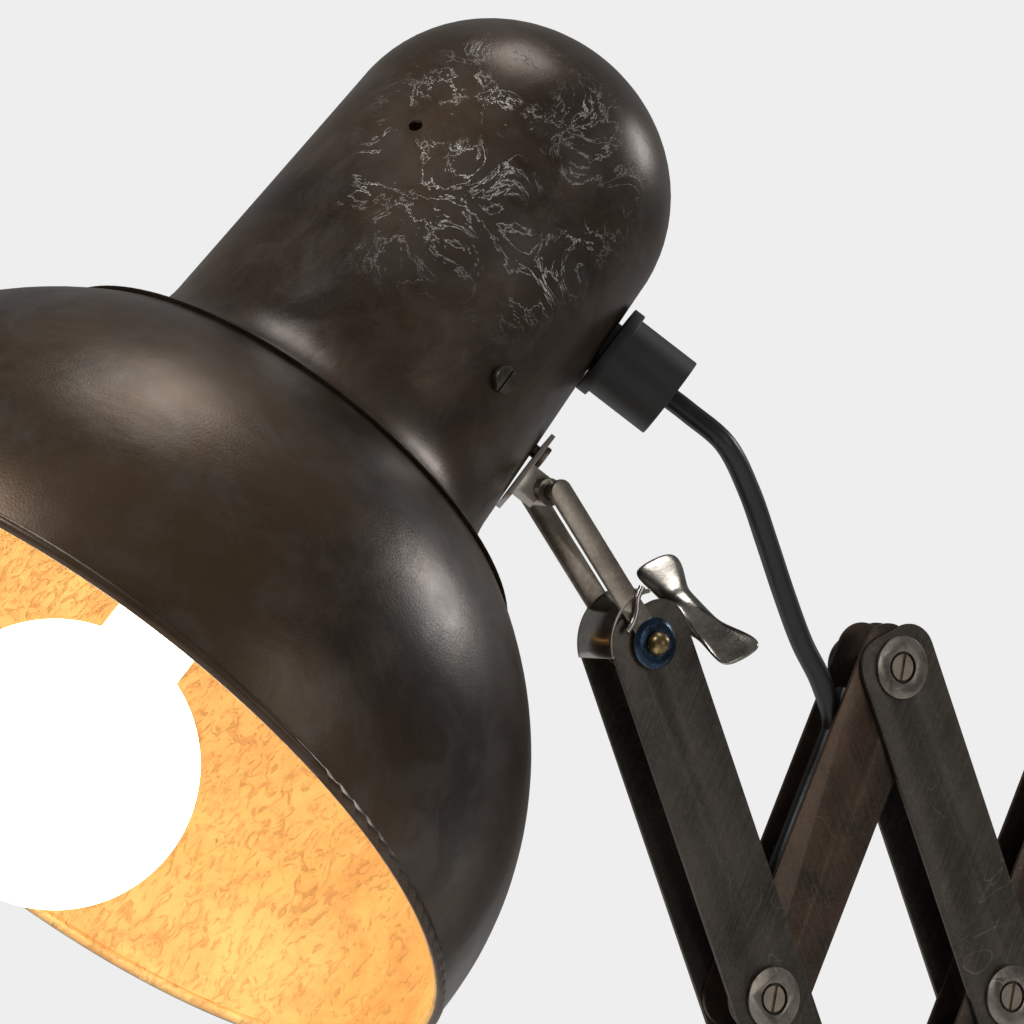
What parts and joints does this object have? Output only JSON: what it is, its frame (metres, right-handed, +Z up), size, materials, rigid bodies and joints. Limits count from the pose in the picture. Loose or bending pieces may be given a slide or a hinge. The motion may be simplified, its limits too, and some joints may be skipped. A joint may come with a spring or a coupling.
{
  "type": "desk_lamp",
  "caption": "Clamp-on desk lamp with a scissor arm of flat steel bars, a tilting domed metal shade with a hood, and a globe bulb",
  "frame": {"origin": "Centre of the clamp's flat desk face, on the post's swivel axis", "axes": "+Z up along the post, the scissor arm reaches out along -X, -Y is the side the lamp is seen from"},
  "size_m": [0.5899, 0.2534, 0.5802],
  "materials": {
    "cast_paint": "dark satin enamel on castings",
    "arm_steel": "bare steel, brushed along the bars, light staining",
    "inner_arm_steel": "bare steel with a brown oily stain",
    "fastener_steel": "turned steel with brown age marks",
    "cast_steel": "polished casting",
    "brass": "worn brass",
    "blued_steel": "tempered dark blue",
    "black_rubber": "matt black",
    "shade_patina": "dark grey-brown patina with scratches",
    "porcelain": "glazed, off-white",
    "bulb_glass": "thin frosted glass"
  },
  "bodies": {
    "clamp": {"clamp_frame": "cast_paint", "strain_relief": "black_rubber", "mains_lead": "black_rubber", "mains_coil": "black_rubber", "mains_plug": "black_rubber", "plug_pins": "brass"},
    "clamp_pad": {"clamp_pad": "fastener_steel"},
    "clamp_screw": {"clamp_screw": "fastener_steel", "clamp_handle": "fastener_steel"},
    "post": {"spindle_tube": "fastener_steel", "spindle_cap": "black_rubber", "stop_collar": "fastener_steel", "turret": "cast_paint", "cord_in_post": "black_rubber"},
    "slider": {"slider_block": "cast_paint", "slider_pin": "fastener_steel"},
    "lock_screw": {"wing_screw": "cast_steel"},
    "bulb": {"bulb_glass": "bulb_glass", "bulb_cap": "brass"},
    "head": {"link": "arm_steel", "pivot_bolt": "brass", "spring_washer": "blued_steel", "clip": "arm_steel", "clip_screw": "fastener_steel", "shade": "shade_patina", "neck_bead": "shade_patina", "hood": "shade_patina", "hood_screws": "fastener_steel", "gland": "black_rubber", "cord_in_hood": "black_rubber", "lampholder": "porcelain", "holder_collar": "porcelain", "holder_bracket": "fastener_steel"},
    "outer_1": {"outer_1_front": "arm_steel", "outer_1_rear": "arm_steel", "outer_1_pins": "fastener_steel", "outer_1_rings": "fastener_steel", "cord_in_outer_1": "black_rubber"},
    "inner_1": {"inner_1_front": "inner_arm_steel", "inner_1_rear": "inner_arm_steel", "inner_1_sleeves": "fastener_steel"},
    "outer_2": {"outer_2_front": "arm_steel", "outer_2_rear": "arm_steel", "outer_2_pins": "fastener_steel", "outer_2_rings": "fastener_steel"},
    "inner_2": {"inner_2_front": "inner_arm_steel", "inner_2_rear": "inner_arm_steel", "inner_2_sleeves": "fastener_steel", "cord_in_inner_2": "black_rubber"},
    "outer_3": {"outer_3_front": "arm_steel", "outer_3_rear": "arm_steel", "outer_3_pins": "fastener_steel", "outer_3_rings": "fastener_steel", "cord_in_outer_3": "black_rubber", "screw_block": "fastener_steel"},
    "inner_3": {"inner_3_front": "inner_arm_steel", "inner_3_rear": "inner_arm_steel", "inner_3_sleeves": "fastener_steel", "cord_in_inner_3": "black_rubber"}
  },
  "joints": [
    {"name": "arm_swivel", "type": "hinge", "parent": "clamp", "child": "post", "pos_m": [0, 0, 0.06], "axis": [0, 0, 1], "range_deg": [-120, 120]},
    {"name": "arm_extend", "type": "hinge", "parent": "post", "child": "outer_1", "pos_m": [-0.028, 0, 0.11], "axis": [0, -1, 0], "range_deg": [-12, 35]},
    {"name": "cross_1", "type": "hinge", "parent": "outer_1", "child": "inner_1", "pos_m": [-0.07138, 0, 0.20562], "axis": [0, -1, 0], "range_deg": [-70, 24]},
    {"name": "slider_pivot", "type": "hinge", "parent": "inner_1", "child": "slider", "pos_m": [-0.028, 0, 0.30124], "axis": [0, -1, 0], "range_deg": [-12, 35]},
    {"name": "top_1", "type": "hinge", "parent": "outer_1", "child": "inner_2", "pos_m": [-0.11475, 0, 0.30124], "axis": [0, -1, 0], "range_deg": [-70, 24]},
    {"name": "cross_2", "type": "hinge", "parent": "inner_2", "child": "outer_2", "pos_m": [-0.15813, 0, 0.20562], "axis": [0, -1, 0], "range_deg": [-24, 70]},
    {"name": "top_2", "type": "hinge", "parent": "outer_2", "child": "inner_3", "pos_m": [-0.2015, 0, 0.30124], "axis": [0, -1, 0], "range_deg": [-70, 24]},
    {"name": "cross_3", "type": "hinge", "parent": "inner_3", "child": "outer_3", "pos_m": [-0.24488, 0, 0.20562], "axis": [0, -1, 0], "range_deg": [-24, 70]},
    {"name": "head_tilt", "type": "hinge", "parent": "outer_3", "child": "head", "pos_m": [-0.29073, 0, 0.30671], "axis": [0, -1, 0], "range_deg": [-35, 20]},
    {"name": "lock_turn", "type": "hinge", "parent": "outer_3", "child": "lock_screw", "pos_m": [-0.29073, 0, 0.30671], "axis": [0.9107, 0, 0.4131], "range_deg": [-15, 15]},
    {"name": "pad_travel", "type": "slide", "parent": "clamp", "child": "clamp_pad", "axis": [0, 0, 1], "range_m": [-0.014, 0.022]},
    {"name": "screw_turn", "type": "hinge", "parent": "clamp_pad", "child": "clamp_screw", "pos_m": [-0.022, 0, -0.06], "axis": [0, 0, 1], "range_deg": [-2520, 3960]},
    {"name": "bulb_out", "type": "slide", "parent": "head", "child": "bulb", "axis": [-0.6561, 0, -0.7547], "range_m": [0, 0.06]}
  ],
  "couplings": [
    {"joint": "cross_1", "follows": "arm_extend", "ratio": -2},
    {"joint": "slider_pivot", "follows": "arm_extend", "ratio": 1},
    {"joint": "top_1", "follows": "arm_extend", "ratio": -2},
    {"joint": "cross_2", "follows": "arm_extend", "ratio": 2},
    {"joint": "top_2", "follows": "arm_extend", "ratio": -2},
    {"joint": "cross_3", "follows": "arm_extend", "ratio": 2},
    {"joint": "screw_turn", "follows": "pad_travel", "rad_per_m": 3141.6}
  ]
}
